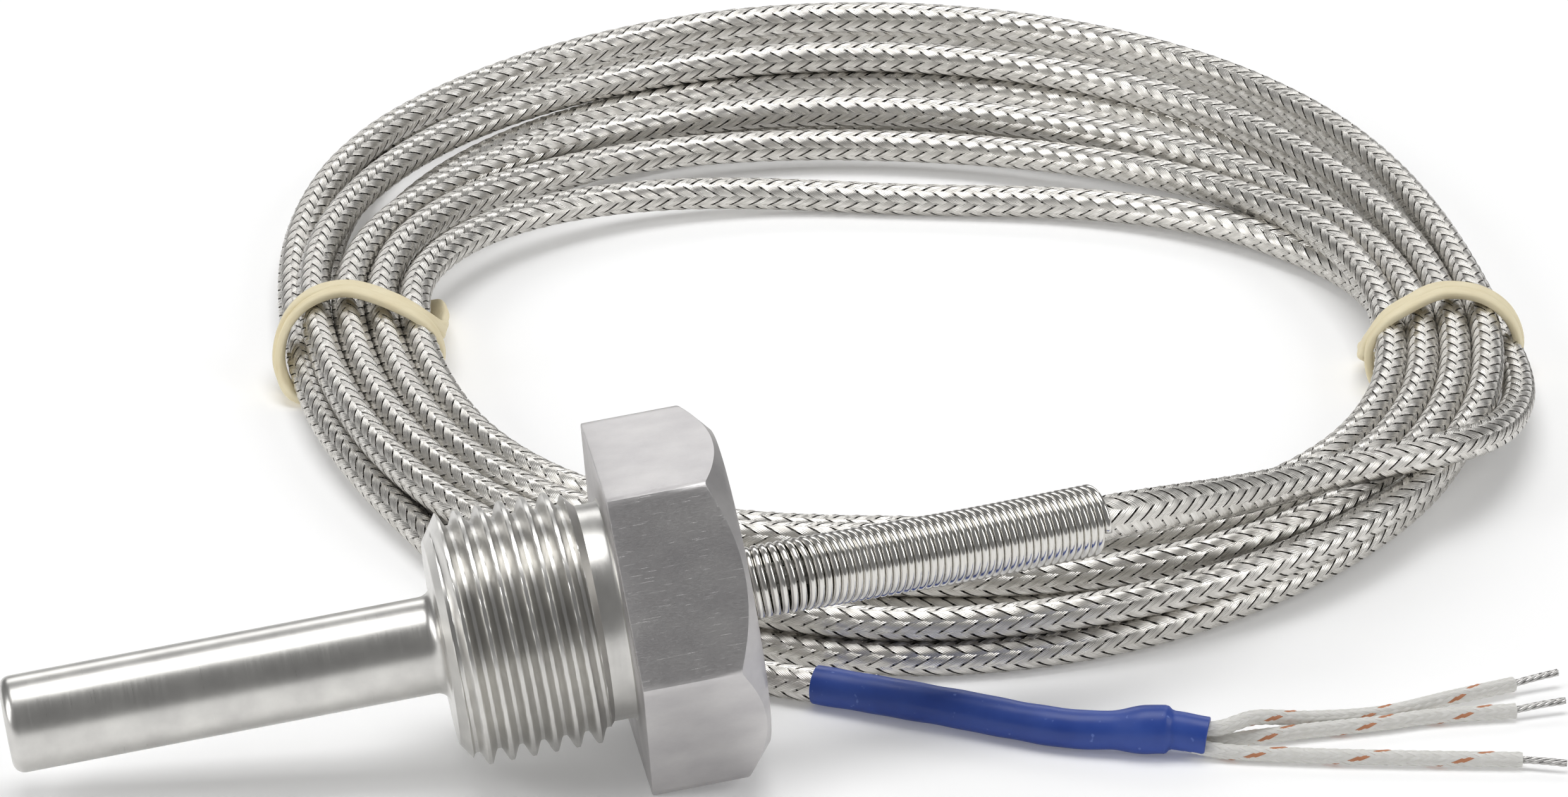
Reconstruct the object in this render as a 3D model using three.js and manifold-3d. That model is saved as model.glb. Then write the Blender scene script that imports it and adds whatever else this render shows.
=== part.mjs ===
// A screw-in resistance temperature probe with its steel-braided lead wound into a coil.
// Millimetres, +Z up. The probe lies on one flat of its hexagon, its stem towards -X, and the
// lead runs from the hexagon's back face to a coil behind it (+Y) and back to three bare ends.
import * as THREE from 'three';
import { mergeVertices } from 'three/addons/utils/BufferGeometryUtils.js';
import Module from 'manifold-3d';

const wasm = await Module();
wasm.setup();

// Driving dimensions of the probe. Places along it are measured from the hexagon's front face,
// negative towards the tip of the stem.
const hexAcrossFlats = 27;
const hexLength = 10.25;
const hexCornerLength = 8; // what the back chamfer leaves of each corner edge
const hexBackFaceRadius = 13;
const threadOuter = 20.955; // G 1/2
const threadPitch = 1.814;
const threadDepth = 1.162;
const threadStart = -14.6;
const threadEnd = -2.6;
const neckRadius = 9;
const stemDiameter = 8;
const stemTip = -50.5;
const stemTipEdge = 1;
const stemRootFillet = 1.1;
const boreRadius = 3;
const boreEnd = stemTip + 1.6;
const counterboreRadius = 3.4;
const counterboreEnd = 2.25;
const clearance = 0.3; // between pieces that touch

// The strain relief spring, close wound.
const springDiameter = 6.1;
const springWire = 0.52;
const springPitch = 0.67;
const springStart = 5.5;

// The lead.
const cableDiameter = 2.9;
const sleeveRadius = 1.65;
const sleeveWall = 0.35;
const bulgeRadius = 2.05;
const leadRadius = 0.7;
const conductorRadius = 0.315;

// How the probe lies: its tip low and nearer, its back end high and further away.
const tilt = THREE.MathUtils.degToRad(7.67);
const yaw = THREE.MathUtils.degToRad(9.01);
const probeAxis = new THREE.Vector3(
  Math.cos(tilt) * Math.cos(yaw),
  Math.cos(tilt) * Math.sin(yaw),
  Math.sin(tilt),
);
const hexApothem = hexAcrossFlats / 2;
const hexCornerRadius = hexApothem / Math.cos(Math.PI / 6);
// The middle of the probe's footprint is the frame's origin, and the hexagon's front face
// is this far from it.
const hexFace = new THREE.Vector3(4.5, -0.62, hexApothem * Math.cos(tilt));

// The coil: a slightly turned and squared oval of turns lying flat, drawn together by two bands.
const coilCentre = new THREE.Vector2(27.9, 85.4);
const coilHalfWidth = 55.3; // to the centre of the outermost turn
const coilHalfDepth = 71.9;
const coilTurned = THREE.MathUtils.degToRad(7);
const coilSquareness = 0.9;
const squareCorners = THREE.MathUtils.degToRad(56); // where the oval is fullest, every 90 degrees
const tightestRight = THREE.MathUtils.degToRad(-7);
const tightestLeft = THREE.MathUtils.degToRad(190);
const bandedSpread = 10.4; // from the outermost turn to the innermost, centre to centre
const backSpread = 40.5;
const frontSpread = 25;
const bandedLift = 1.25; // the coil's underside where it lies on a band
const openLift = 0.1;
const coilTop = 6.5;

// The rubber bands, each set a little askew over the turns.
const bandThickness = 0.8;
const bandWidth = 2.6;
const bandGap = 0.25;
const bandSkew = THREE.MathUtils.degToRad(20);
const bands = {
  band_left: { angle: tightestLeft, skew: -bandSkew },
  band_right: { angle: tightestRight, skew: bandSkew },
};

const materials = {
  steel: new THREE.MeshStandardMaterial({ color: 0xb4b2ae, roughness: 0.3, metalness: 1 }),
  springSteel: new THREE.MeshStandardMaterial({ color: 0xc2c0ba, roughness: 0.2, metalness: 1 }),
  braid: new THREE.MeshStandardMaterial({ color: 0xb0ada6, roughness: 0.4, metalness: 1 }),
  ceramic: new THREE.MeshStandardMaterial({ color: 0xf2efe6, roughness: 0.6, metalness: 0 }),
  filler: new THREE.MeshStandardMaterial({ color: 0xd9d6cc, roughness: 0.9, metalness: 0 }),
  fibreglass: new THREE.MeshStandardMaterial({ color: 0xebe7da, roughness: 0.5, metalness: 0 }),
  copper: new THREE.MeshStandardMaterial({ color: 0xb9b9b6, roughness: 0.3, metalness: 1 }),
  brass: new THREE.MeshStandardMaterial({ color: 0xb08d4c, roughness: 0.35, metalness: 1 }),
  potting: new THREE.MeshStandardMaterial({ color: 0x34302c, roughness: 0.5, metalness: 0 }),
  sleeve: new THREE.MeshStandardMaterial({ color: 0x2c469a, roughness: 0.45, metalness: 0 }),
  rubber: new THREE.MeshStandardMaterial({ color: 0xe9deb2, roughness: 0.6, metalness: 0 }),
};

const thermocouple = new THREE.Group();
const probe = new THREE.Group();
probe.position.copy(hexFace);
probe.rotation.set(0, -tilt, yaw, 'ZYX');
thermocouple.add(probe);

function addPiece(group, name, geometry, material) {
  const piece = new THREE.Mesh(geometry, material);
  piece.name = name;
  group.add(piece);
  return piece;
}

// ---- helpers for solids

function toSolid(geometry) {
  const bare = geometry.index ? geometry.toNonIndexed() : geometry.clone();
  bare.deleteAttribute('normal');
  bare.deleteAttribute('uv');
  const merged = mergeVertices(bare, 1e-4);
  return new wasm.Manifold(
    new wasm.Mesh({
      numProp: 3,
      vertProperties: new Float32Array(merged.attributes.position.array),
      triVerts: new Uint32Array(merged.index.array),
    }),
  );
}

function toGeometry(solid) {
  const mesh = solid.getMesh();
  const geometry = new THREE.BufferGeometry();
  geometry.setAttribute('position', new THREE.BufferAttribute(mesh.vertProperties, 3));
  geometry.setIndex(new THREE.BufferAttribute(mesh.triVerts, 1));
  geometry.computeVertexNormals();
  return geometry;
}

// A solid of revolution about X from [place along X, radius] pairs that start and end on the
// axis or close on themselves.
function turned(outline, segments = 40) {
  const profile = outline.map(([along, radius]) => new THREE.Vector2(radius, along));
  const geometry = new THREE.LatheGeometry(profile, segments);
  return geometry.rotateZ(-Math.PI / 2);
}

function rod(from, to, radius, segments = 12) {
  return turned([[from, 0], [from, radius], [to, radius], [to, 0]], segments);
}

function ringAlongX(from, to, inner, outer, segments = 24) {
  return turned([[from, inner], [from, outer], [to, outer], [to, inner], [from, inner]], segments);
}

function polygon(radius, sides, startAngle = 0) {
  const corners = [];
  for (let i = 0; i < sides; i += 1) {
    const angle = startAngle + (i / sides) * 2 * Math.PI;
    corners.push(new THREE.Vector2(radius * Math.cos(angle), radius * Math.sin(angle)));
  }
  return new THREE.Shape(corners);
}

function curveThrough(points) {
  const corners = points.map((p) => (p.isVector3 ? p : new THREE.Vector3(...p)));
  return new THREE.CatmullRomCurve3(corners, false, 'centripetal');
}

function tube(points, radius, sides = 8, stepLength = 6) {
  const path = curveThrough(points);
  const steps = Math.ceil(path.getLength() / stepLength);
  return new THREE.ExtrudeGeometry(polygon(radius, sides), {
    extrudePath: path,
    steps,
    bevelEnabled: false,
  });
}

function onAxis(along) {
  return hexFace.clone().addScaledVector(probeAxis, along);
}

// ---- the machined body: stem, thread, neck and hexagon in one, bored from the back

function bodyOutline() {
  const stemRadius = stemDiameter / 2;
  const outline = [[stemTip, 0]];
  const arcSteps = 3;
  for (let i = 0; i <= arcSteps; i += 1) {
    const angle = (i / arcSteps) * (Math.PI / 2);
    outline.push([
      stemTip + stemTipEdge * (1 - Math.cos(angle)),
      stemRadius - stemTipEdge * (1 - Math.sin(angle)),
    ]);
  }
  for (let i = 0; i <= arcSteps; i += 1) {
    const angle = (i / arcSteps) * (Math.PI / 2);
    outline.push([
      threadStart - stemRootFillet * (1 - Math.sin(angle)),
      stemRadius + stemRootFillet * (1 - Math.cos(angle)),
    ]);
  }
  const crestRadius = threadOuter / 2;
  const rootRadius = crestRadius - threadDepth;
  outline.push([threadStart, rootRadius - 0.9]); // the chamfered start of the thread
  const flat = 0.15 * threadPitch;
  const ridges = Math.floor((threadEnd - threadStart) / threadPitch);
  for (let i = 0; i < ridges; i += 1) {
    const crest = threadStart + 1 + (i + 0.5) * threadPitch;
    const height = i === 0 ? crestRadius - 0.35 : crestRadius;
    outline.push([crest - flat, height], [crest + flat, height]);
    outline.push([crest + threadPitch / 2 - flat, rootRadius]);
    outline.push([crest + threadPitch / 2 + flat, rootRadius]);
  }
  outline.push([threadEnd + 0.5, neckRadius], [hexLength / 2, neckRadius], [hexLength / 2, 0]);
  return outline;
}

function hexagonSolid() {
  const hexagon = new THREE.ExtrudeGeometry(polygon(hexCornerRadius, 6, Math.PI / 6), {
    depth: hexLength,
    bevelEnabled: false,
  });
  hexagon.rotateY(Math.PI / 2); // laid along X, with one flat facing up and one facing down
  const chamferCone = turned([
    [-1, 0],
    [-1, hexCornerRadius + 1],
    [hexCornerLength, hexCornerRadius + 0.01],
    [hexLength, hexBackFaceRadius],
    [hexLength + 1, hexBackFaceRadius - 1],
    [hexLength + 1, 0],
  ], 72);
  return toSolid(hexagon).intersect(toSolid(chamferCone));
}

function bodySolid() {
  const bore = toSolid(turned([
    [boreEnd, 0],
    [boreEnd, boreRadius],
    [counterboreEnd, boreRadius],
    [counterboreEnd, counterboreRadius],
    [hexLength + 1, counterboreRadius],
    [hexLength + 1, 0],
  ]));
  return toSolid(turned(bodyOutline())).add(hexagonSolid()).subtract(bore);
}

addPiece(probe, 'threaded_body', toGeometry(bodySolid()), materials.steel);

// ---- what the stem holds, from the tip to the potting

const fillerRadius = boreRadius - clearance;
const elementRadius = 0.95;
const elementFront = boreEnd + 1.7;
const elementBack = elementFront + 14;
const fillerFront = boreEnd + clearance;
const fillerBack = elementBack + 1.5;
addPiece(
  probe,
  'thermal_filler',
  turned([
    [fillerFront, 0],
    [fillerFront, fillerRadius],
    [fillerBack, fillerRadius],
    [fillerBack, elementRadius + clearance],
    [elementFront - clearance, elementRadius + clearance],
    [elementFront - clearance, 0],
  ], 24),
  materials.filler,
);
addPiece(
  probe,
  'sensing_element',
  rod(elementFront, elementBack, elementRadius, 16),
  materials.ceramic,
);

// The element's two wires each end in a crimp. Three insulated wires go on from there to the
// lead, two of them from the same crimp, and an insulating sleeve lines the bore round them.
const crimpFront = elementBack + 5;
const crimpBack = crimpFront + 4;
const wireFront = crimpBack + clearance;
const wireBack = counterboreEnd - 0.15;
const crimpOffsets = { a: 0.9, b: -0.9 };
for (const [letter, offset] of Object.entries(crimpOffsets)) {
  const elementWire = rod(elementBack + clearance, crimpFront - clearance, 0.15, 8);
  elementWire.translate(0, offset / 2, 0);
  addPiece(probe, `element_wire_${letter}`, elementWire, materials.copper);
  const crimp = rod(crimpFront, crimpBack, 0.5, 10);
  crimp.translate(0, offset, 0);
  addPiece(probe, `splice_crimp_${letter}`, crimp, materials.copper);
}
const wireCircle = 1.05;
const wireRadius = 0.55;
function wirePlace(index) {
  const angle = (index / 3) * 2 * Math.PI;
  return [wireCircle * Math.cos(angle), wireCircle * Math.sin(angle)];
}
for (let i = 0; i < 3; i += 1) {
  const wire = rod(wireFront, wireBack, wireRadius, 10);
  wire.translate(0, ...wirePlace(i));
  addPiece(probe, `internal_wire_${i + 1}`, wire, materials.fibreglass);
}
addPiece(
  probe,
  'insulating_sleeve',
  ringAlongX(fillerBack + clearance, -1, boreRadius - clearance - 0.5, boreRadius - clearance),
  materials.fibreglass,
);
let plug = toSolid(rod(-1 + clearance, wireBack - clearance, boreRadius - clearance, 24));
for (let i = 0; i < 3; i += 1) {
  const hole = rod(-2, wireBack + 1, wireRadius + 0.25, 12);
  hole.translate(0, ...wirePlace(i));
  plug = plug.subtract(toSolid(hole));
}
addPiece(probe, 'potting_plug', toGeometry(plug), materials.potting);
addPiece(
  probe,
  'anchor_ferrule',
  ringAlongX(counterboreEnd + clearance, springStart - clearance, cableDiameter / 2 + 0.3, 2.8),
  materials.brass,
);

// ---- the route of the lead, where it isn't coiled. The lead leaves the potting along the probe's
// axis, bends back with its spring and comes down on the coil, and its other end leaves the coil
// behind the hexagon for the sleeve.
const springBend = onAxis(14.4);
const springRoute = [
  [24.46, 4, 15.3],
  [34.46, 8.3, 15.2],
  [43.9, 12.7, 15.2],
];
const leadInRoute = [
  [51.96, 20.9, 12.8],
  [59.06, 29.4, 10.2],
  [67.2, 38.9, 8.4],
];
const tailRoute = [
  [-3.54, 21.9, 1.5],
  [1.46, 17.6, 1.5],
  [7.46, 14.4, 1.5],
  [13.46, 12.1, 1.5],
  [17.46, 10.6, 1.5],
  [20.56, 9.33, 1.6],
];
const sleeveRoute = [
  [20.86, 9.2, 1.7],
  [31.16, 5.2, 1.7],
  [41.66, 1, 1.7],
  [46.26, 0.3, 1.9],
  [49.86, 0, 2.1],
  [52.96, -0.5, 1.75],
];
const leadRoutes = {
  lead_a: [
    [53.66, -0.3, 2.35],
    [56.96, 1.7, 2.35],
    [61.56, 3.9, 1.2],
    [67.66, 5.4, 0.9],
    [73.86, 8.4, 0.9],
    [79.16, 10.9, 0.9],
  ],
  lead_b: [
    [53.66, 0.4, 0.85],
    [56.96, 1.2, 0.8],
    [61.56, 2.4, 0.8],
    [67.66, 3.8, 0.8],
    [71.76, 5, 0.8],
    [78.96, 6.1, 0.8],
  ],
  lead_c: [
    [53.66, -1.3, 0.85],
    [59.36, -2, 0.8],
    [67.26, -2.5, 0.8],
    [78.76, -2.9, 0.8],
  ],
};
const conductorEnds = {
  lead_a: [82.96, 12.3, 1.3],
  lead_b: [83.16, 7.4, 1.1],
  lead_c: [82.36, -3.6, 0.8],
};

// A wire wound round a line, seen from a frame that keeps upright along it.
class WoundWire extends THREE.Curve {
  constructor(line, radius, turns) {
    super();
    this.line = line;
    this.radius = radius;
    this.turns = turns;
  }

  getPoint(t, target = new THREE.Vector3()) {
    const forward = this.line.getTangentAt(t);
    const side = forward.clone().cross(new THREE.Vector3(0, 0, 1)).normalize();
    const up = side.clone().cross(forward);
    const angle = t * this.turns * 2 * Math.PI;
    return target
      .copy(this.line.getPointAt(t))
      .addScaledVector(up, this.radius * Math.cos(angle))
      .addScaledVector(side, this.radius * Math.sin(angle));
  }
}

const springLine = curveThrough([onAxis(springStart), onAxis(hexLength), springBend, ...springRoute]);
springLine.arcLengthDivisions = 800;
const springTurns = Math.round(springLine.getLength() / springPitch);
const stepsPerTurn = 8;
const windingRadius = (springDiameter - springWire) / 2;
addPiece(
  thermocouple,
  'strain_relief_spring',
  new THREE.ExtrudeGeometry(polygon(springWire / 2, 5), {
    extrudePath: new WoundWire(springLine, windingRadius, springTurns),
    steps: springTurns * stepsPerTurn,
    bevelEnabled: false,
  }),
  materials.springSteel,
);

addPiece(
  thermocouple,
  'cable_lead_in',
  tube(
    [onAxis(counterboreEnd + clearance), onAxis(hexLength), springBend, ...springRoute, ...leadInRoute],
    cableDiameter / 2,
  ),
  materials.braid,
);

// ---- the coil: a ring drawn over the outline of all the turns

const outlineOfTurns = [
  [1, -0.6],
  [1, 0.6],
  [0.7, 1],
  [-0.7, 1],
  [-1, 0.6],
  [-1, -0.6],
  [-0.7, -1],
  [0.7, -1],
  [1, -0.6],
];

function outermostTurn(angle) {
  const along = coilHalfDepth * Math.cos(angle - coilTurned);
  const across = coilHalfWidth * Math.sin(angle - coilTurned);
  const oval = (coilHalfWidth * coilHalfDepth) / Math.hypot(along, across);
  return oval + coilSquareness * Math.cos(4 * (angle - squareCorners));
}

// How far the turns have spread, from 0 where a band holds them to 1 midway between the bands.
function openness(angle) {
  const fullTurn = 2 * Math.PI;
  const fromRight = (angle - tightestRight + fullTurn) % fullTurn;
  const backArc = tightestLeft - tightestRight;
  const share = isAtBack(angle) ? fromRight / backArc : (fromRight - backArc) / (fullTurn - backArc);
  return Math.sin(Math.PI * share) ** 2;
}

function isAtBack(angle) {
  const fullTurn = 2 * Math.PI;
  return (angle - tightestRight + fullTurn) % fullTurn < tightestLeft - tightestRight;
}

function spreadOfTurns(angle) {
  const openSpread = isAtBack(angle) ? backSpread : frontSpread;
  return bandedSpread + (openSpread - bandedSpread) * openness(angle);
}

function coilRing() {
  const ringRadius = 10;
  const profile = outlineOfTurns.map(([u, v]) => new THREE.Vector2(ringRadius + u, v));
  const ring = new THREE.LatheGeometry(profile, 56).rotateX(Math.PI / 2);
  const position = ring.attributes.position;
  for (let i = 0; i < position.count; i += 1) {
    const angle = Math.atan2(position.getY(i), position.getX(i));
    const u = Math.hypot(position.getX(i), position.getY(i)) - ringRadius;
    const spread = spreadOfTurns(angle);
    const radius = outermostTurn(angle) - spread / 2 + u * (spread / 2 + cableDiameter / 2);
    const lift = openLift + (bandedLift - openLift) * (1 - openness(angle)) ** 2;
    const height = (coilTop + lift) / 2 + position.getZ(i) * ((coilTop - lift) / 2);
    position.setXYZ(
      i,
      coilCentre.x + radius * Math.cos(angle),
      coilCentre.y + radius * Math.sin(angle),
      height,
    );
  }
  ring.computeVertexNormals();
  return ring;
}

addPiece(thermocouple, 'cable_coil', coilRing(), materials.braid);

function roundedBox(halfWidth, halfHeight, corner) {
  const shape = new THREE.Shape();
  shape.moveTo(halfWidth, -halfHeight + corner);
  shape.lineTo(halfWidth, halfHeight - corner);
  shape.absarc(halfWidth - corner, halfHeight - corner, corner, 0, Math.PI / 2);
  shape.lineTo(-halfWidth + corner, halfHeight);
  shape.absarc(-halfWidth + corner, halfHeight - corner, corner, Math.PI / 2, Math.PI);
  shape.lineTo(-halfWidth, -halfHeight + corner);
  shape.absarc(-halfWidth + corner, -halfHeight + corner, corner, Math.PI, 1.5 * Math.PI);
  shape.lineTo(halfWidth - corner, -halfHeight);
  shape.absarc(halfWidth - corner, -halfHeight + corner, corner, 1.5 * Math.PI, 2 * Math.PI);
  return shape;
}

for (const [name, { angle, skew }] of Object.entries(bands)) {
  const halfCoil = (bandedSpread + cableDiameter) / 2;
  const skewedHalf = (halfCoil + (bandWidth / 2) * Math.sin(bandSkew)) / Math.cos(bandSkew);
  const innerWidth = skewedHalf + clearance + bandGap;
  const innerHeight = (coilTop - bandedLift) / 2 + bandGap;
  const loop = roundedBox(innerWidth + bandThickness, innerHeight + bandThickness, 2.2);
  loop.holes.push(roundedBox(innerWidth, innerHeight, 1.4));
  const band = new THREE.ExtrudeGeometry(loop, {
    depth: bandWidth,
    bevelEnabled: false,
    curveSegments: 4,
  });
  // Stood upright across the turns: its width along them, its long side towards the coil's centre.
  band.translate(0, 0, -bandWidth / 2);
  band.rotateX(Math.PI / 2);
  const piece = addPiece(thermocouple, name, band, materials.rubber);
  const radius = outermostTurn(angle) - bandedSpread / 2;
  piece.position.set(
    coilCentre.x + radius * Math.cos(angle),
    coilCentre.y + radius * Math.sin(angle),
    (coilTop + bandedLift) / 2,
  );
  piece.rotation.z = angle + skew;
}

// ---- the free end: the tail of the cable, the sleeve over its end, and the three leads

addPiece(thermocouple, 'cable_tail', tube(tailRoute, cableDiameter / 2), materials.braid);

// Bends a piece made along X, from 0 to its length, on to a line.
function bentAlong(geometry, line, length) {
  const position = geometry.attributes.position;
  for (let i = 0; i < position.count; i += 1) {
    const t = THREE.MathUtils.clamp(position.getX(i) / length, 0, 1);
    const forward = line.getTangentAt(t);
    const side = forward.clone().cross(new THREE.Vector3(0, 0, 1)).normalize();
    const up = side.clone().cross(forward);
    const point = line.getPointAt(t)
      .addScaledVector(side, -position.getY(i))
      .addScaledVector(up, position.getZ(i));
    position.setXYZ(i, point.x, point.y, point.z);
  }
  geometry.computeVertexNormals();
  return geometry;
}

const sleeveLine = curveThrough(sleeveRoute);
const sleeveLength = sleeveLine.getLength();
const bulgeStart = sleeveLength - 8;
const bulgeEnd = sleeveLength - 3.4;


// The straight run of a bent piece, cut into steps so that it can follow the bend.
function straightRun(from, to, radius) {
  const steps = 8;
  const run = [];
  for (let i = 0; i <= steps; i += 1) {
    run.push([from + (i / steps) * (to - from), radius]);
  }
  return run;
}

function sleeveOutline() {
  const outer = straightRun(0, bulgeStart, sleeveRadius);
  outer.push([bulgeEnd - 1.4, bulgeRadius], [bulgeEnd, bulgeRadius]);
  outer.push([bulgeEnd + 0.5, sleeveRadius], [sleeveLength, sleeveRadius]);
  const inner = outer.map(([along, radius]) => [along, radius - sleeveWall]).reverse();
  return [...outer, ...inner, outer[0]];
}

addPiece(
  thermocouple,
  'heat_shrink_sleeve',
  bentAlong(turned(sleeveOutline(), 16), sleeveLine, sleeveLength),
  materials.sleeve,
);
const bundleEnd = bulgeStart - 0.3;
const bundle = turned([[0, 0], ...straightRun(0, bundleEnd, 0.9), [bundleEnd, 0]], 12);
addPiece(
  thermocouple,
  'lead_bundle',
  bentAlong(bundle, sleeveLine, sleeveLength),
  materials.fibreglass,
);
addPiece(
  thermocouple,
  'braid_end_ferrule',
  bentAlong(ringAlongX(bulgeEnd - 3, bulgeEnd - 0.3, 0.95, 1.35, 12), sleeveLine, sleeveLength),
  materials.brass,
);

for (const [name, route] of Object.entries(leadRoutes)) {
  addPiece(thermocouple, name, tube(route, leadRadius, 8, 3), materials.fibreglass);
  const leadEnd = new THREE.Vector3(...route.at(-1));
  const conductorEnd = new THREE.Vector3(...conductorEnds[name]);
  const forward = conductorEnd.clone().sub(leadEnd).normalize();
  const conductorStart = leadEnd.clone().addScaledVector(forward, clearance);
  addPiece(
    thermocouple,
    name.replace('lead', 'bare_conductor'),
    tube([conductorStart, conductorEnd], conductorRadius, 6, 4),
    materials.copper,
  );
}

export default thermocouple;
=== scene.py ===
"""A screw-in temperature probe and its coiled steel-braided lead, dressed on the CAD frame.

Lengths are millimetres in the CAD frame, +Z up, and become metres where a mesh is made.
"""
import math

import bpy
import numpy as np
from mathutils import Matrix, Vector


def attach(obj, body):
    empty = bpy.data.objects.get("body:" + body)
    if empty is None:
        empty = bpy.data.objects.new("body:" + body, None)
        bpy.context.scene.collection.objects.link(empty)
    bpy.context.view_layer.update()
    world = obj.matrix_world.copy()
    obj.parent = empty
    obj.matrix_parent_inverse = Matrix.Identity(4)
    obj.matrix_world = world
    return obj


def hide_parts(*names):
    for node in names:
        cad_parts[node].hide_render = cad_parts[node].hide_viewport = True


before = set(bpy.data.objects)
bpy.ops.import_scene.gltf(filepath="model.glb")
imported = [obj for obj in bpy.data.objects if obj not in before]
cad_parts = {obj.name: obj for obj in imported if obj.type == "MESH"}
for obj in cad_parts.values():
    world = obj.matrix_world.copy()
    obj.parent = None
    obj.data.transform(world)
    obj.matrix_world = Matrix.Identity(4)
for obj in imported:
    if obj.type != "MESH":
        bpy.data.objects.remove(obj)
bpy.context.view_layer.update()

MM = 0.001
TURN = 2 * math.pi

# ---- the probe's place and dimensions
#
# They are those of part.mjs, except that the neck starts 0.2 later and is 0.05 thinner in
# radius, and that the spring's wire is thick enough here to nearly close its gaps.

TILT = math.radians(7.67)
YAW = math.radians(9.01)
HEX_APOTHEM = 13.5
HEX_CORNER = HEX_APOTHEM / math.cos(math.pi / 6)
HEX_LENGTH = 10.25
HEX_CORNER_LENGTH = 8.0
HEX_BACK_RADIUS = 13.0
HEX_FACE = np.array([4.5, -0.62, HEX_APOTHEM * math.cos(TILT)])
THREAD_RADIUS = 20.955 / 2
THREAD_PITCH = 1.814
THREAD_DEPTH = 1.162
THREAD_START = -14.6
THREAD_START_RADIUS = 8.4
THREAD_FULL = -13.2
NECK_START = -1.9
NECK_RADIUS = 8.95
STEM_RADIUS = 4.0
STEM_TIP = -50.5
STEM_TIP_EDGE = 1.0
STEM_ROOT_FILLET = 1.1
BORE_RADIUS = 3.0
BORE_END = STEM_TIP + 1.6
COUNTERBORE_RADIUS = 3.4
COUNTERBORE_END = 2.25
SPRING_RADIUS = 3.05
SPRING_WIRE_RADIUS = 0.33
SPRING_PITCH = 0.67
SPRING_START = 5.5
CABLE_START = 2.55

AXIS = np.array([
    math.cos(TILT) * math.cos(YAW),
    math.cos(TILT) * math.sin(YAW),
    math.sin(TILT),
])
SIDE = np.cross(AXIS, [0, 0, 1]) / math.cos(TILT)
UP = np.cross(SIDE, AXIS)


def on_axis(along):
    return HEX_FACE + AXIS * along


# ---- the lead's route and the coil's turns
#
# The spring's route and the coil's outline are those of part.mjs. The solids there have no
# single turns, so the turns and the way into them are only here.

SPRING_BEND = on_axis(14.4)
SPRING_ROUTE = [(24.46, 4, 15.3), (34.46, 8.3, 15.2), (43.9, 12.7, 15.2)]
LEAD_IN_ROUTE = [
    (51.96, 20.9, 12.8),
    (59.06, 29.4, 10.2),
    (67.2, 38.0, 8.4),
    (74.8, 43.6, 7.2),
    (79.9, 50.2, 5.8),
    (82.9, 58.5, 4.2),
    (84.2, 66.4, 3.1),
    (84.0, 75.0, 2.6),
]
TAIL_ROUTE = [
    (-3.54, 21.9, 1.5),
    (1.46, 17.6, 1.5),
    (7.46, 14.4, 1.5),
    (13.46, 12.1, 1.5),
    (17.46, 10.6, 1.5),
    (20.56, 9.33, 1.6),
    (25.9, 7.9, 1.65),
]
SLEEVE_ROUTE = [
    (20.86, 9.2, 1.7),
    (31.16, 5.2, 1.7),
    (41.66, 1, 1.7),
    (46.26, 0.3, 1.9),
    (49.86, 0, 2.1),
    (52.96, -0.5, 1.75),
]
LEAD_ROUTES = {
    "lead_a": [
        (50.4, 0.3, 2.3), (53.66, -0.3, 2.35), (56.96, 1.7, 2.35), (61.56, 3.9, 1.2),
        (67.66, 5.4, 0.9), (73.86, 8.4, 0.9), (79.16, 10.9, 0.9),
    ],
    "lead_b": [
        (49.4, 1.0, 1.5), (53.66, 0.4, 0.85), (56.96, 1.2, 0.8), (61.56, 2.4, 0.8),
        (67.66, 3.8, 0.8), (71.76, 5, 0.8), (78.96, 6.1, 0.8),
    ],
    "lead_c": [
        (48.4, 0.2, 1.5), (53.66, -1.3, 0.85), (59.36, -2, 0.8), (67.26, -2.5, 0.8),
        (78.76, -2.9, 0.8),
    ],
}
CONDUCTOR_ENDS = {
    "lead_a": (82.96, 12.3, 1.3),
    "lead_b": (83.16, 7.4, 1.1),
    "lead_c": (82.36, -3.6, 0.8),
}
COIL_CENTRE = np.array([27.9, 85.4])
COIL_HALF_WIDTH = 55.3
COIL_HALF_DEPTH = 71.9
COIL_TURNED = math.radians(7)
COIL_SQUARENESS = 0.9
COIL_CORNERS = math.radians(56)  # where the oval is fullest, every 90 degrees
FRONT_EASE = 2.6  # how long the turns stay together before they spread at the front
LEFT_BAND_ANGLE = 190  # where the turns lie tightest on the left, in degrees
CABLE_DIAMETER = 2.9
TABLE_CLEARANCE = 0.05

# Where each turn lies at the coil's four sides, from the first turn wound to the last: how far
# inside the outermost turn, and how high its centre is. The first four turns go inwards on the
# surface, and the last four come back outwards on top of them.
TURNS_AT_RIGHT = [
    (0, 2.4), (3, 2.4), (6, 2.4), (9, 2.4), (10.4, 4.9), (7.5, 4.9), (4.5, 4.9), (1.5, 4.9),
]
TURNS_AT_BACK = [
    (0, 2.0), (14, 2.0), (26, 1.6), (42, 1.5), (31.3, 2.6), (27.3, 4.6), (13.9, 4.9), (2.7, 4.7),
]
TURNS_AT_LEFT = [
    (3, 2.4), (6, 2.4), (9, 2.4), (10.4, 4.9), (7.5, 4.9), (4.5, 4.9), (1.5, 4.9), (0, 2.4),
]
TURNS_AT_FRONT = [
    (0, 1.5), (9.5, 1.5), (17, 1.5), (25, 1.5), (17.5, 4.2), (9.5, 4.2), (1, 4.2), (0, 1.5),
]
TAIL_ANGLE = 218  # where on the last turn the tail leaves the coil, in degrees

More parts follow.
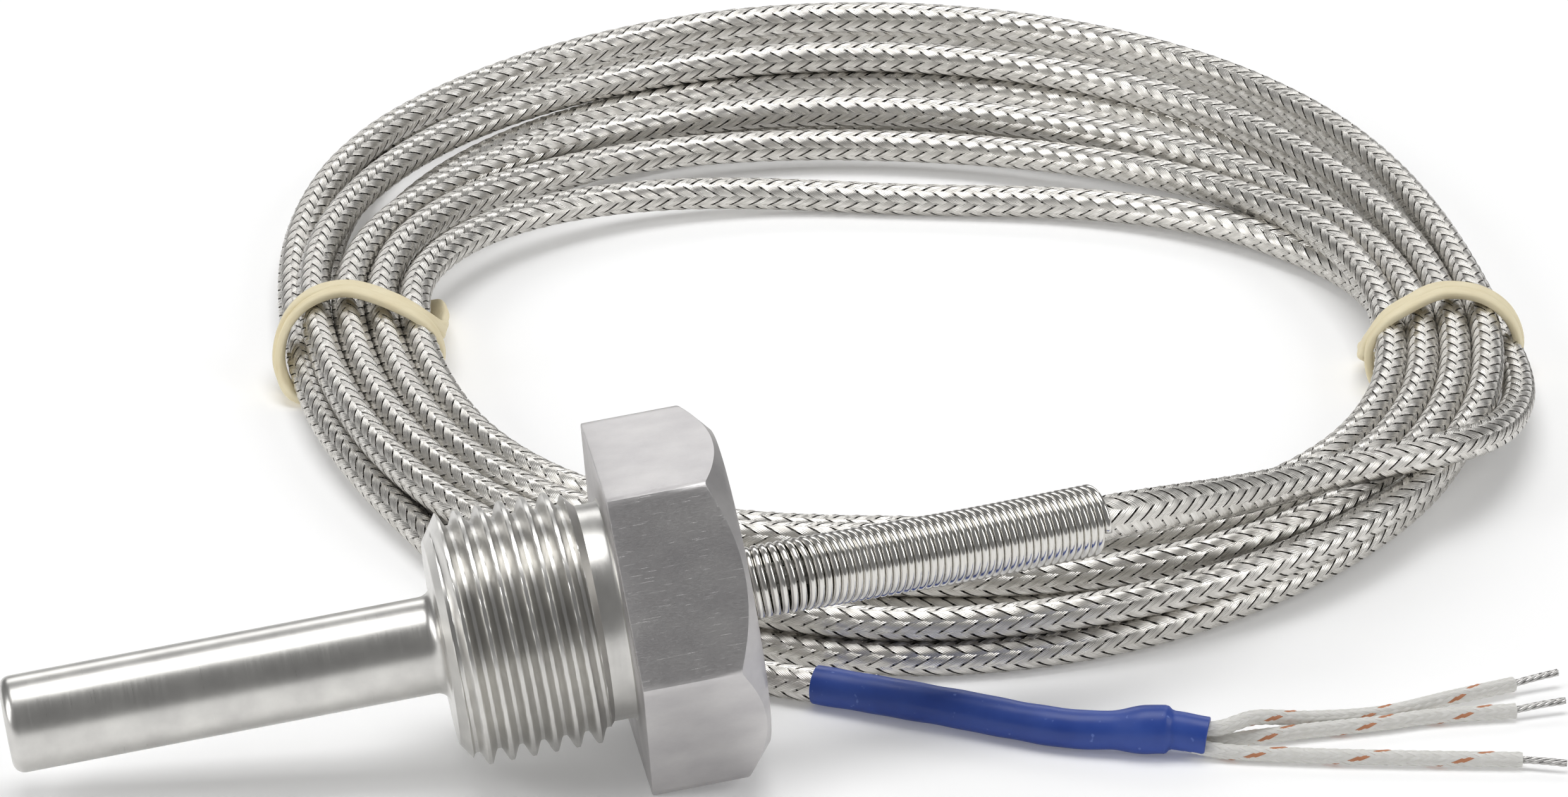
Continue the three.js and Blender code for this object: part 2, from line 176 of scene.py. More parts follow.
# Each rubber band goes twice round the turns, the second time just behind the first. A winding's
# line starts at the coil's inner side, near the surface, and goes up over the turns, down
# outside them and back below them.
BAND_WINDINGS = {
    "band_left": [
        [
            (-13.9, 73.4, 0.6), (-13.0, 72.8, 2.6), (-13.0, 72.9, 4.6), (-14.3, 73.9, 6.3),
            (-17.6, 76.6, 7.05), (-21.9, 79.0, 7.2), (-25.0, 77.6, 6.7), (-26.9, 75.6, 5.2),
            (-27.4, 72.6, 2.6), (-25.8, 69.8, 0.8), (-20, 71.8, 0.5),
        ],
        [
            (-14.6, 90.8, 0.6), (-13.5, 86.8, 1.6), (-13.1, 81.0, 2.9), (-13.1, 76.4, 4.6),
            (-14.4, 75.1, 6.4), (-17.7, 77.8, 7.1), (-21.9, 80.2, 7.25), (-25.2, 78.8, 6.8),
            (-27.2, 76.8, 5.2), (-27.7, 74.0, 2.6), (-26.2, 71.2, 0.8), (-20, 80, 0.5),
        ],
    ],
    "band_right": [
        [
            (72.2, 72.9, 0.6), (71.3, 72.3, 2.2), (71.2, 72.5, 4.6), (72.5, 73.6, 6.3),
            (75.1, 76.0, 7.05), (78.4, 78.6, 7.2), (81.7, 78.2, 6.9), (84.1, 77.0, 5.4),
            (85.0, 75.8, 2.8), (83.8, 75.4, 0.7), (78, 74.5, 0.5),
        ],
        [
            (72.0, 78.9, 0.6), (71.0, 78.0, 1.6), (70.9, 75.5, 3.2), (71.2, 74.0, 4.8),
            (72.6, 74.8, 6.4), (75.2, 77.2, 7.1), (78.4, 79.8, 7.25), (81.8, 79.4, 6.95),
            (84.3, 78.2, 5.4), (85.2, 77.0, 2.8), (84.0, 76.6, 0.7), (78, 77, 0.5),
        ],
    ],
}
BAND_THICKNESS = 0.8
BAND_WIDTH = 1.6  # of one winding


# ---- helpers for lines and meshes

def unit(vectors):
    return vectors / np.linalg.norm(vectors, axis=-1, keepdims=True)


def smoothstep(t):
    t = np.clip(t, 0, 1)
    return t * t * (3 - 2 * t)


def arc_lengths(path):
    steps = np.linalg.norm(np.diff(path, axis=0), axis=1)
    return np.concatenate([[0], np.cumsum(steps)])


def evenly(path, step):
    """The same line with points at equal distances, about step apart."""
    lengths = arc_lengths(path)
    count = max(2, round(lengths[-1] / step) + 1)
    places = np.linspace(0, lengths[-1], count)
    return np.stack([np.interp(places, lengths, path[:, i]) for i in range(3)], 1)


def smooth_line(points, step):
    """A centripetal Catmull-Rom curve through the points, resampled to even steps."""
    points = np.array(points, float)
    points = np.concatenate([
        [2 * points[0] - points[1]],
        points,
        [2 * points[-1] - points[-2]],
    ])
    samples = []
    for p0, p1, p2, p3 in zip(points, points[1:], points[2:], points[3:]):
        t1 = np.linalg.norm(p1 - p0) ** 0.5
        t2 = t1 + np.linalg.norm(p2 - p1) ** 0.5
        t3 = t2 + np.linalg.norm(p3 - p2) ** 0.5
        t = np.linspace(t1, t2, 12, endpoint=False)[:, None]
        a1 = (t1 - t) / t1 * p0 + t / t1 * p1
        a2 = (t2 - t) / (t2 - t1) * p1 + (t - t1) / (t2 - t1) * p2
        a3 = (t3 - t) / (t3 - t2) * p2 + (t - t2) / (t3 - t2) * p3
        b1 = (t2 - t) / t2 * a1 + t / t2 * a2
        b2 = (t3 - t) / (t3 - t1) * a2 + (t - t1) / (t3 - t1) * a3
        samples.append((t2 - t) / (t2 - t1) * b1 + (t - t1) / (t2 - t1) * b2)
    samples.append(points[-2:-1])
    return evenly(np.concatenate(samples), step)


def upright(path):
    """Unit vectors to the side of the line and up from it, at each of its points."""
    forward = unit(np.gradient(path, axis=0))
    side = unit(np.cross(forward, [0, 0, 1]))
    return side, np.cross(side, forward)


def grid_faces(rows, columns):
    """Quads between neighbouring rows of a grid whose columns close on themselves."""
    row, column = np.meshgrid(np.arange(rows - 1), np.arange(columns), indexing="ij")
    after = (column + 1) % columns
    corners = [
        row * columns + column,
        (row + 1) * columns + column,
        (row + 1) * columns + after,
        row * columns + after,
    ]
    return np.stack(corners, -1).reshape(-1, 4)


def make_piece(name, points, faces, material, places=None, sharp_degrees=None):
    """A piece on the root body. places are three values per point for its material to read."""
    mesh = bpy.data.meshes.new(name)
    mesh.from_pydata(np.asarray(points, float).reshape(-1, 3) * MM, [], faces)
    mesh.shade_smooth()
    if sharp_degrees:
        mesh.set_sharp_from_angle(angle=math.radians(sharp_degrees))
    if places is not None:
        attribute = mesh.attributes.new("place", "FLOAT_VECTOR", "POINT")
        attribute.data.foreach_set("vector", np.asarray(places, np.float32).ravel())
    mesh.materials.append(material)
    piece = bpy.data.objects.new(name, mesh)
    bpy.context.scene.collection.objects.link(piece)
    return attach(piece, "root")


def make_tube(name, rows, material, places=None, sharp_degrees=None, open_ends=False):
    """A closed piece from rings of points, one ring per row."""
    count, columns = rows.shape[:2]
    faces = grid_faces(count, columns).tolist()
    if not open_ends:
        faces.append(list(range(columns)))
        faces.append(list(range(count * columns - 1, (count - 1) * columns - 1, -1)))
    return make_piece(name, rows, faces, material, places, sharp_degrees)


def round_section(path, half_width, half_height, sides, side=None, up=None):
    """Rings round a line. The half sizes are numbers, or one number per point."""
    if side is None:
        side, up = upright(path)
    angle = np.arange(sides) / sides * TURN
    width = np.broadcast_to(half_width, len(path))[:, None, None]
    height = np.broadcast_to(half_height, len(path))[:, None, None]
    return (
        path[:, None]
        + side[:, None] * width * np.cos(angle)[None, :, None]
        + up[:, None] * height * np.sin(angle)[None, :, None]
    )


def tube_places(path, sides):
    """For a tube's material: the cosine and sine round it, and the distance along it."""
    angle = np.arange(sides) / sides * TURN
    along = arc_lengths(path)
    shape = (len(path), sides)
    return np.stack([
        np.broadcast_to(np.cos(angle), shape),
        np.broadcast_to(np.sin(angle), shape),
        np.broadcast_to(along[:, None], shape),
    ], -1)


# ---- materials

class Nodes:
    """A material's node tree, built with short calls."""

    def __init__(self, name, **shader_values):
        self.material = bpy.data.materials.new(name)
        self.material.use_nodes = True
        self.tree = self.material.node_tree
        self.shader = self.tree.nodes["Principled BSDF"]
        for socket, value in shader_values.items():
            self.shader.inputs[socket.replace("_", " ")].default_value = value

    def node(self, kind, inputs=None, **settings):
        made = self.tree.nodes.new(kind)
        for setting, value in settings.items():
            setattr(made, setting, value)
        for socket, value in (inputs or {}).items():
            if isinstance(value, bpy.types.NodeSocket):
                self.tree.links.new(value, made.inputs[socket])
            else:
                made.inputs[socket].default_value = value
        return made

    def place(self, scale=(1, 1, 1)):
        read = self.node("ShaderNodeAttribute", attribute_name="place")
        return self.node(
            "ShaderNodeVectorMath",
            {0: read.outputs["Vector"], 1: scale},
            operation="MULTIPLY",
        ).outputs["Vector"]

    def object_place(self, scale):
        read = self.node("ShaderNodeTexCoord")
        return self.node(
            "ShaderNodeVectorMath",
            {0: read.outputs["Object"], 1: (scale, scale, scale)},
            operation="MULTIPLY",
        ).outputs["Vector"]

    def split(self, vector):
        return self.node("ShaderNodeSeparateXYZ", {0: vector}).outputs

    def maths(self, operation, first, second=0.0):
        return self.node(
            "ShaderNodeMath", {0: first, 1: second}, operation=operation
        ).outputs[0]

    def noise(self, vector, scale=1.0, detail=3.0, roughness=0.5):
        return self.node(
            "ShaderNodeTexNoise",
            {"Vector": vector, "Scale": scale, "Detail": detail, "Roughness": roughness},
        ).outputs["Fac"]

    def ramp(self, value, low, high, from_low=0.3, from_high=0.7):
        """value spread over low to high, which are numbers or colours."""
        if isinstance(low, tuple):
            made = self.node("ShaderNodeValToRGB", {"Fac": value})
            made.color_ramp.elements[0].position = from_low
            made.color_ramp.elements[0].color = (*low, 1)
            made.color_ramp.elements[1].position = from_high
            made.color_ramp.elements[1].color = (*high, 1)
            return made.outputs["Color"]
        return self.node("ShaderNodeMapRange", {
            "Value": value,
            "From Min": from_low,
            "From Max": from_high,
            "To Min": low,
            "To Max": high,
        }).outputs["Result"]

    def mix(self, share, first, second):
        made = self.node("ShaderNodeMix", data_type="RGBA")
        self.tree.links.new(share, made.inputs["Factor"])
        for socket, value in ((6, first), (7, second)):
            if isinstance(value, tuple):
                made.inputs[socket].default_value = (*value, 1)
            else:
                self.tree.links.new(value, made.inputs[socket])
        return made.outputs[2]

    def set(self, socket, value):
        self.tree.links.new(value, self.shader.inputs[socket])

    def bump(self, height, distance_mm, strength=1.0):
        made = self.node(
            "ShaderNodeBump",
            {"Height": height, "Distance": distance_mm * MM, "Strength": strength},
        )
        self.set("Normal", made.outputs["Normal"])


def machined_steel():
    """Bright turned steel: fine rings round the probe's axis, with a few faint blotches."""
    made = Nodes("machined_steel", Metallic=1.0)
    rings = made.noise(made.place((9, 0.25, 0.25)), detail=5, roughness=0.7)
    blotches = made.noise(made.place((0.35, 0.35, 0.35)), detail=4)
    made.set("Base Color", made.ramp(blotches, (0.6, 0.59, 0.57), (0.73, 0.72, 0.69)))
    made.set("Roughness", made.ramp(rings, 0.27, 0.37))
    made.bump(rings, 0.0025)
    return made.material


def hexagon_steel():
    """Duller bar stock: a fine mottled grain and stray scratches."""
    made = Nodes("hexagon_steel", Metallic=1.0)
    grain = made.noise(made.place((3, 12, 12)), detail=6, roughness=0.75)
    blotches = made.noise(made.place((0.2, 0.3, 0.3)), detail=5)
    scratches = made.noise(made.place((0.5, 9, 9)), detail=2, roughness=0.4)
    scratch_lines = made.ramp(scratches, 0.0, 1.0, 0.68, 0.72)
    made.set("Base Color", made.ramp(blotches, (0.53, 0.515, 0.52), (0.64, 0.625, 0.62)))
    made.set("Roughness", made.ramp(grain, 0.34, 0.52))
    height = made.maths("ADD", grain, made.maths("MULTIPLY", scratch_lines, 0.6))
    made.bump(height, 0.008)
    return made.material


def spring_steel():
    made = Nodes("spring_steel", Metallic=1.0)
    drawn = made.noise(made.place((6, 6, 0.3)), detail=3)
    made.set("Base Color", made.ramp(drawn, (0.66, 0.64, 0.6), (0.8, 0.79, 0.76)))
    made.set("Roughness", made.ramp(drawn, 0.1, 0.2))
    made.bump(drawn, 0.003)
    return made.material


def braid_steel():
    """A strip of fine parallel wires: ridges across it, and each strip a little different."""
    made = Nodes("braid_steel", Metallic=1.0)
    across = made.split(made.place())[0]
    wires_across = made.maths("MULTIPLY", across, 3 * math.pi)
    ridges = made.maths("ABSOLUTE", made.maths("COSINE", wires_across))
    wear = made.noise(made.place((1.2, 0.5, 1.7)), detail=3)
    made.set("Base Color", made.ramp(wear, (0.62, 0.6, 0.56), (0.84, 0.82, 0.78)))
    made.set("Roughness", made.ramp(wear, 0.36, 0.25))
    made.bump(ridges, 0.015)
    return made.material


# Painted shade: the cable's core is near black so that the gaps between the braid's strips read
# as dark slits.
def painted_gap_shade():
    made = Nodes("lead_core", Metallic=0.0, Roughness=0.8)
    mottle = made.noise(made.object_place(900), detail=2)
    made.set("Base Color", made.ramp(mottle, (0.025, 0.023, 0.02), (0.06, 0.055, 0.048)))
    return made.material


def band_rubber():
    made = Nodes("band_rubber", Metallic=0.0, Specular_IOR_Level=0.3)
    streaks = made.noise(made.place((1.0, 1.0, 0.25)), detail=5, roughness=0.65)
    made.set("Base Color", made.ramp(streaks, (0.76, 0.66, 0.43), (0.85, 0.77, 0.55)))
    made.set("Roughness", made.ramp(streaks, 0.5, 0.7))
    made.bump(streaks, 0.08)
    return made.material


def sleeve_plastic():
    made = Nodes("sleeve_plastic", Metallic=0.0, Specular_IOR_Level=0.45)
    cloud = made.noise(made.object_place(260), detail=5)
    specks = made.ramp(made.noise(made.object_place(1500), detail=1), 0.0, 1.0, 0.72, 0.78)
    blue = made.ramp(cloud, (0.018, 0.055, 0.3), (0.035, 0.085, 0.38))
    made.set("Base Color", made.mix(specks, blue, (0.1, 0.17, 0.5)))
    made.set("Roughness", made.ramp(cloud, 0.32, 0.46))
    made.bump(cloud, 0.12)
    return made.material


def lead_fibreglass():
    """Woven off-white strips. One strip of one direction carries a tan tracer."""
    made = Nodes("lead_fibreglass", Metallic=0.0, Specular_IOR_Level=0.35)
    across, _, strip = made.split(made.place())[:3]
    threads = made.maths("ABSOLUTE", made.maths("COSINE", made.maths("MULTIPLY", across, 9)))
    tracer = made.maths("LESS_THAN", strip, 0.5)
    tint = made.noise(made.place((0.6, 0.8, 1.0)), detail=3)
    white = made.ramp(tint, (0.84, 0.83, 0.78), (0.93, 0.92, 0.89))
    made.set("Base Color", made.mix(tracer, white, (0.62, 0.27, 0.14)))
    made.set("Roughness", made.ramp(tint, 0.4, 0.6))
    made.bump(threads, 0.02)
    return made.material


def plain_fibreglass():
    made = Nodes("fibreglass", Metallic=0.0, Roughness=0.6)
    weave = made.noise(made.object_place(1400), detail=2)
    made.set("Base Color", made.ramp(weave, (0.74, 0.72, 0.65), (0.86, 0.85, 0.8)))
    made.bump(weave, 0.05)
    return made.material


def tinned_copper():
    made = Nodes("tinned_copper", Metallic=1.0)
    wear = made.noise(made.object_place(1200), detail=3)
    made.set("Base Color", made.ramp(wear, (0.42, 0.41, 0.4), (0.66, 0.65, 0.63)))
    made.set("Roughness", made.ramp(wear, 0.25, 0.4))
    return made.material


def fine_grained(name, low, high, roughness, metallic=0.0):
    """A plain inner material with a faint grain."""
    made = Nodes(name, Metallic=metallic, Roughness=roughness)
    grain = made.noise(made.object_place(800), detail=4)
    made.set("Base Color", made.ramp(grain, low, high))
    made.bump(grain, 0.01)
    return made.material


materials = {
    "machined_steel": machined_steel(),
    "hexagon_steel": hexagon_steel(),
    "spring_steel": spring_steel(),
    "steel_braid": braid_steel(),
    "lead_core": painted_gap_shade(),
    "band_rubber": band_rubber(),
    "sleeve_plastic": sleeve_plastic(),
    "lead_fibreglass": lead_fibreglass(),
    "fibreglass": plain_fibreglass(),
    "tinned_copper": tinned_copper(),
    "ceramic": fine_grained("ceramic", (0.82, 0.8, 0.74), (0.9, 0.89, 0.85), 0.35),
    "filler": fine_grained("filler", (0.62, 0.6, 0.55), (0.74, 0.72, 0.67), 0.9),
    "potting": fine_grained("potting", (0.02, 0.018, 0.015), (0.05, 0.045, 0.04), 0.3),
    "ferrule_brass": fine_grained(
        "ferrule_brass", (0.5, 0.34, 0.13), (0.62, 0.44, 0.2), 0.3, metallic=1.0
    ),
}


# ---- camera, floor and lights, in metres

SENSOR_WIDTH_MM = 36
FOCAL_LENGTH_MM = 182.7
CAMERA_PLACE = (0.018187, -0.586259, 0.295051)
CAMERA_LOOKS_DOWN = math.radians(24.17)
FLOOR_REACH = 3.0
FLOOR_GREY = 0.93
FLOOR_GLOW = 0.14
WORLD_STRENGTH = 0.2
LIGHT_TARGET = (0.02, 0.05, 0)
SOFTBOXES = {  # each one's place, size and watts
    "overhead": ((0.0, 0.15, 0.9), (0.7, 0.5), 4),
    "left": ((-0.8, -0.25, 0.45), (0.4, 0.6), 3),
    "right": ((0.8, -0.1, 0.5), (0.3, 0.6), 2),
    "behind": ((0.0, 0.9, 0.5), (1.0, 0.25), 2),
}


def add_camera():
    data = bpy.data.cameras.new("camera")
    data.sensor_width = SENSOR_WIDTH_MM
    data.lens = FOCAL_LENGTH_MM
    data.clip_start = 0.05
    data.clip_end = 20
    camera = bpy.data.objects.new("camera", data)
    camera.location = CAMERA_PLACE
    camera.rotation_euler = (math.radians(90) - CAMERA_LOOKS_DOWN, 0, 0)
    bpy.context.scene.collection.objects.link(camera)
    bpy.context.scene.camera = camera


def add_floor():
    mesh = bpy.data.meshes.new("floor")
    reach = FLOOR_REACH
    corners = [(-reach, -reach, 0), (reach, -reach, 0), (reach, reach, 0), (-reach, reach, 0)]
    mesh.from_pydata(corners, [], [(0, 1, 2, 3)])
    made = Nodes("floor", Roughness=0.9, Specular_IOR_Level=0.1)
    made.shader.inputs["Base Color"].default_value = (*[FLOOR_GREY] * 3, 1)
    made.shader.inputs["Emission Color"].default_value = (1, 1, 1, 1)
    made.shader.inputs["Emission Strength"].default_value = FLOOR_GLOW
    mesh.materials.append(made.material)
    floor = bpy.data.objects.new("floor", mesh)
    bpy.context.scene.collection.objects.link(floor)


def add_softbox(name, place, size, energy):
    """An area light that faces the middle of the object."""
    data = bpy.data.lights.new(name, "AREA")
    data.shape = "RECTANGLE"
    data.size, data.size_y = size
    data.energy = energy
    light = bpy.data.objects.new(name, data)
    light.location = place
    away = light.location - Vector(LIGHT_TARGET)
    light.rotation_euler = away.to_track_quat("Z", "Y").to_euler()
    bpy.context.scene.collection.objects.link(light)


def add_lights():
    world = bpy.data.worlds.new("studio")
    world.use_nodes = True
    background = world.node_tree.nodes["Background"]
    background.inputs["Color"].default_value = (1, 1, 1, 1)
    background.inputs["Strength"].default_value = WORLD_STRENGTH
    bpy.context.scene.world = world
    for name, (place, size, energy) in SOFTBOXES.items():
        add_softbox(name, place, size, energy)
    bpy.context.scene.view_settings.view_transform = "Standard"


add_camera()
add_floor()
add_lights()


# ---- the cable's line, from the potting through the coil to the sleeve

POINTS_PER_TURN = 24
WHOLE_TURNS = 7
ROUTE_STEP = 2.0  # between the points that are pushed apart
CABLE_STEP = 0.36  # between the points of the finished line


def outermost_turn(angle):
    """The distance from the coil's centre to its outermost turn: a turned and squared oval."""
    turned = angle - COIL_TURNED
    oval = COIL_HALF_WIDTH * COIL_HALF_DEPTH / np.hypot(
        COIL_HALF_DEPTH * np.cos(turned), COIL_HALF_WIDTH * np.sin(turned)
    )
    return oval + COIL_SQUARENESS * np.cos(4 * (angle - COIL_CORNERS))


def between_sides(angle):
    """Which side of the coil comes before an angle, and how far on the turns are to the next."""
    side_angles = np.radians([0, 90, LEFT_BAND_ANGLE, 270, 360])
    turn, within = divmod(angle, TURN)
    side = int(np.searchsorted(side_angles, within, side="right")) - 1
    share = (within - side_angles[side]) / (side_angles[side + 1] - side_angles[side])
    if side == 2:
        share = share ** FRONT_EASE
    if side == 3:
        share = 1 - (1 - share) ** FRONT_EASE
    return int(turn) * 4 + side, smoothstep(share)


def coil_points():
    """The coil's turns, anticlockwise from its right side."""
    stations = []
    sides = zip(TURNS_AT_RIGHT, TURNS_AT_BACK, TURNS_AT_LEFT, TURNS_AT_FRONT)
    for turn in sides:
        stations.extend(turn)
    stations = np.array(stations, float)
    last_angle = WHOLE_TURNS * TURN + math.radians(TAIL_ANGLE)
    points = []
    for angle in np.arange(0, last_angle, TURN / POINTS_PER_TURN):
        before, share = between_sides(angle)
        after = min(before + 1, len(stations) - 1)
        inset, height = stations[before] + share * (stations[after] - stations[before])
        radius = outermost_turn(angle) - inset
        x, y = COIL_CENTRE + radius * np.array([math.cos(angle), math.sin(angle)])
        points.append((x, y, height))
    return points


def settled(path, diameter, fixed_start, fixed_end, rounds=60):
    """The line with its turns pushed apart until they nearly clear each other and the surface.

    In each round a point moves by a share of the overlap, of the kink and of the way back.
    """
    push_share = 0.25
    kink_share = 0.2
    return_share = 0.03
    most_lift = 1
    lowest = diameter / 2 + TABLE_CLEARANCE
    laid = path.copy()
    spacing = np.linalg.norm(path[1] - path[0])
    index = np.arange(len(path))
    apart = np.abs(index[:, None] - index[None]) * spacing > 4 * diameter
    free = ((index >= fixed_start) & (index < len(path) - fixed_end)).astype(float)[:, None]
    for _ in range(rounds):
        gaps = path[:, None] - path[None]
        distance = np.linalg.norm(gaps, axis=2) + 1e-6
        depth = np.where(apart & (distance < diameter), diameter - distance, 0)
        push = (gaps / distance[..., None] * depth[..., None]).sum(1) * push_share
        bend = np.zeros_like(path)
        bend[1:-1] = (path[:-2] + path[2:]) / 2 - path[1:-1]
        kink = bend - smoothed(bend)
        path = path + free * (push + kink_share * kink + return_share * (laid - path))
        path[:, 2] = np.maximum(path[:, 2], np.minimum(lowest, path[:, 2] + most_lift))
    return path


def smoothed(values, width=9):
    """A running mean along the line, so that only sharp kinks are taken out."""
    kernel = np.ones(width) / width
    padded = np.pad(values, ((width // 2, width // 2), (0, 0)), mode="edge")
    return np.stack([np.convolve(padded[:, i], kernel, "valid") for i in range(3)], 1)


def cable_line():
    start = [on_axis(CABLE_START), on_axis(HEX_LENGTH), SPRING_BEND, *SPRING_ROUTE]
    route = smooth_line([*start, *LEAD_IN_ROUTE, *coil_points(), *TAIL_ROUTE], ROUTE_STEP)
    held_start = round(arc_lengths(np.array(start))[-1] / ROUTE_STEP)
    held_end = 12
    route = settled(route, CABLE_DIAMETER, held_start, held_end)
    return smooth_line(route, CABLE_STEP)


# ---- the braid

STRIPS_EACH_WAY = 8
OTHER_WAY_NUMBER = 100
STRIP_CHANGE = 1.7  # how quickly a strip goes from over to under


def braid(path, half_width, half_height, turn_length, lift, crown, coverage):
    """Flat strips wound both ways round a line, each over two and under two of the others.

    turn_length is how far along the line one turn of a strip goes, and coverage the share of
    the space round the line that the strips of one direction fill.
    Returns their points, faces and places: across the strip, along the line and the strip's
    number, counted from 0 in one direction and from OTHER_WAY_NUMBER in the other.
    """
    side, up = upright(path)
    along = arc_lengths(path)
    width = np.broadcast_to(half_width, len(path))[:, None]
    height = np.broadcast_to(half_height, len(path))[:, None]
    across = np.array([-1.0, 0.0, 1.0])
    half_strip = coverage * math.pi / STRIPS_EACH_WAY
    points, places, faces = [], [], []
    columns = len(across)
    corner = np.arange(len(path) - 1)[:, None] * columns + np.arange(columns - 1)
    strip_faces = np.stack([corner, corner + columns, corner + columns + 1, corner + 1], -1)
    strip_faces = strip_faces.reshape(-1, 4)
    for direction in (1, -1):
        for strip in range(STRIPS_EACH_WAY):
            middle = direction * TURN * along / turn_length + TURN * strip / STRIPS_EACH_WAY
            angle = middle[:, None] + across * half_strip
            over_under = np.cos(STRIPS_EACH_WAY / 2 * angle - math.pi / 4)
            wave = np.clip(STRIP_CHANGE * over_under, -1, 1)
            rise = direction * lift * wave - crown * across ** 2
            points.append(
                path[:, None]
                + side[:, None] * ((width + rise) * np.cos(angle))[..., None]
                + up[:, None] * ((height + rise) * np.sin(angle))[..., None]
            )
            number = strip + (OTHER_WAY_NUMBER if direction < 0 else 0)
            places.append(np.stack([
                np.broadcast_to(across, angle.shape),
                np.broadcast_to(along[:, None], angle.shape),
                np.full(angle.shape, float(number)),
            ], -1))
            faces.append(strip_faces + len(faces) * len(path) * columns)
    return np.concatenate(points), np.concatenate(faces).tolist(), np.concatenate(places)


CABLE_HALF = 1.44  # to the middle of the braid, which rises and dips by BRAID_LIFT
FLATTENED_WIDTH = -0.2
FLATTENED_HEIGHT = 0.52
FLATTENED_LENGTH = 45
SPRING_GRIP_LENGTH = 3
CORE_DEPTH = 0.24
BRAID_TURN_LENGTH = 15
BRAID_LIFT = 0.09
BRAID_CROWN = 0.05
BRAID_COVERAGE = 0.84

cable_path = cable_line()
cable_along = arc_lengths(cable_path)
spring_exit = arc_lengths(np.array([on_axis(CABLE_START), SPRING_BEND, *SPRING_ROUTE]))[-1]
# Taller than wide where it leaves the spring, then slowly round again.
flat_share = 1 - smoothstep((cable_along - spring_exit) / FLATTENED_LENGTH)
cable_half_width = CABLE_HALF + FLATTENED_WIDTH * flat_share
cable_half_height = CABLE_HALF + FLATTENED_HEIGHT * flat_share
inside_spring = smoothstep((spring_exit - cable_along) / SPRING_GRIP_LENGTH)
cable_half_height = cable_half_height - inside_spring * (cable_half_height - CABLE_HALF)

braid_points, braid_faces, braid_places = braid(
    cable_path,
    cable_half_width,
    cable_half_height,
    turn_length=BRAID_TURN_LENGTH,
    lift=BRAID_LIFT,
    crown=BRAID_CROWN,
    coverage=BRAID_COVERAGE,
)
cable = make_piece(
    "braided_cable", braid_points, braid_faces, materials["steel_braid"], braid_places
)
# A near-black tube under the braid: painted shade, seen through the gaps between the strips.
braid_gap_shade = make_tube(
    "braid_gap_shade",
    round_section(
        cable_path[::2],
        cable_half_width[::2] - CORE_DEPTH,
        cable_half_height[::2] - CORE_DEPTH,
        16,
    ),
    materials["lead_core"],
)


# ---- the sleeve, the leads and their bare ends

SLEEVE_RADIUS = 1.63
SLEEVE_WALL = 0.3
SLEEVE_LIP = 0.1
SLEEVE_SIDES = 40
BULGE_START = 8  # before the sleeve's end
BULGE_RISE_LENGTH = 3.2
BULGE_HEIGHT = 0.4
BULGE_END = 3.4
BULGE_FALL_LENGTH = 0.55
BULGE_FALL = 0.42
LEAD_HALF = 0.62
LEAD_TURN_LENGTH = 8.5
LEAD_LIFT = 0.045
LEAD_CROWN = 0.05
LEAD_COVERAGE = 0.96
LEAD_CORE_RADIUS = 0.54
STRAND_TWIST_LENGTH = 4.5


def sleeve_piece():
    path = smooth_line(SLEEVE_ROUTE, 0.25)
    along = arc_lengths(path)
    length = along[-1]
    rise = smoothstep((along - (length - BULGE_START)) / BULGE_RISE_LENGTH) * BULGE_HEIGHT
    fall = smoothstep((along - (length - BULGE_END)) / BULGE_FALL_LENGTH) * BULGE_FALL
    unevenness = 0.03 * np.sin(along * 1.3) * np.sin(along * 0.37 + 1)
    radius = SLEEVE_RADIUS + rise - fall + unevenness
    outer = round_section(path, radius, radius, SLEEVE_SIDES)
    lip_radius = radius[-1:] - SLEEVE_LIP
    side, up = upright(path)
    lip = round_section(path[-1:], lip_radius, lip_radius, SLEEVE_SIDES, side[-1:], up[-1:])
    inner_radius = radius - SLEEVE_WALL
    inner = round_section(path, inner_radius, inner_radius, SLEEVE_SIDES)[::-1]
    rows = np.concatenate([outer, lip + (path[-1] - path[-2]) * 0.3, inner, outer[:1]])
    return make_tube(
        "blue_sleeve", rows, materials["sleeve_plastic"], open_ends=True, sharp_degrees=50
    )


def lead_piece(name, route):
    path = smooth_line(route, 0.16)
    points, faces, places = braid(
        path,
        LEAD_HALF,
        LEAD_HALF,
        turn_length=LEAD_TURN_LENGTH,
        lift=LEAD_LIFT,
        crown=LEAD_CROWN,
        coverage=LEAD_COVERAGE,
    )
    lead = make_piece(name + "_weave", points, faces, materials["lead_fibreglass"], places)
    core_rows = round_section(path[::3], LEAD_CORE_RADIUS, LEAD_CORE_RADIUS, 12)
    core = make_tube(name + "_core", core_rows, materials["fibreglass"])
    return lead, core, path


def conductor_piece(name, lead_end, end):
    """Seven tinned strands, six of them twisted round one, as one rod with six ridges."""
    path = smooth_line([lead_end, (lead_end + end) / 2 + [0, 0, 0.05], end], 0.08)
    side, up = upright(path)
    along = arc_lengths(path)
    angle = np.arange(42) / 42 * TURN
    lobes = np.abs(np.cos(3 * (angle[None] - along[:, None] * TURN / STRAND_TWIST_LENGTH)))
    radius = (0.2 + 0.11 * lobes)[..., None]
    rows = (
        path[:, None]
        + side[:, None] * radius * np.cos(angle)[None, :, None]
        + up[:, None] * radius * np.sin(angle)[None, :, None]
    )
    return make_tube(name, rows, materials["tinned_copper"])


sleeve = sleeve_piece()
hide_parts("heat_shrink_sleeve")

for lead_name, lead_route in LEAD_ROUTES.items():
    lead, lead_core, lead_path = lead_piece(lead_name, lead_route)
    conductor = conductor_piece(
        lead_name.replace("lead", "conductor"),
        lead_path[-4],
        np.array(CONDUCTOR_ENDS[lead_name]),
    )
    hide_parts(lead_name)
    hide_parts(lead_name.replace("lead", "bare_conductor"))


# ---- the rubber bands

